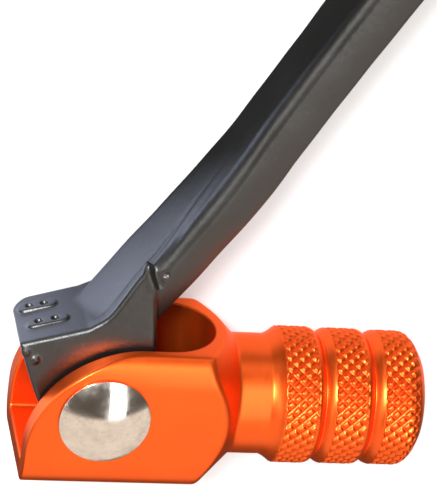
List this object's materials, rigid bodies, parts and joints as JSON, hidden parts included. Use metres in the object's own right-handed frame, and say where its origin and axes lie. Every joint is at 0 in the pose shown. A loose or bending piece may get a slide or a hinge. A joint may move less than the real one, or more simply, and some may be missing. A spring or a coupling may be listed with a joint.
{
  "type": "gear shift lever",
  "caption": "Bowed forged gear shift lever for an off-road motorcycle, with a splined pinch-clamp hub and a spring-returned folding toe tip with knurled grip rings.",
  "frame": {"origin": "centre of the splined bore in the hub, midway between the hub's two side faces", "axes": "+X along the bore and parallel to the toe tip, toward its knurled end; +Y from the toe tip toward the hub; +Z along the tip's pivot rivet, domed head up"},
  "size_m": [0.0678, 0.1667, 0.028],
  "materials": {
    "lever_paint": "satin black powder coat",
    "tip_anodised": "orange anodised, satin",
    "rivet_steel": "nickel plated, satin",
    "washer_steel": "zinc plated",
    "bush_bronze": "sintered",
    "spring_steel": "drawn wire",
    "bolt_steel": "zinc plated"
  },
  "bodies": {
    "lever": {"lever_arm": "lever_paint", "pivot_bush": "bush_bronze", "thrust_washer_upper": "washer_steel", "thrust_washer_lower": "washer_steel", "return_spring": "spring_steel", "pinch_bolt": "bolt_steel", "pinch_washer": "washer_steel"},
    "tip": {"tip_body": "tip_anodised", "pivot_rivet": "rivet_steel", "rivet_washer": "washer_steel"}
  },
  "joints": [
    {"name": "tip_fold", "type": "hinge", "parent": "lever", "child": "tip", "pos_m": [-0.04725, -0.1371, -0.0024], "axis": [0, 0, 1], "range_deg": [0, 26], "stiffness_Nm_per_rad": 0.5, "springref_deg": -45.84, "deforming": ["return_spring"]}
  ]
}
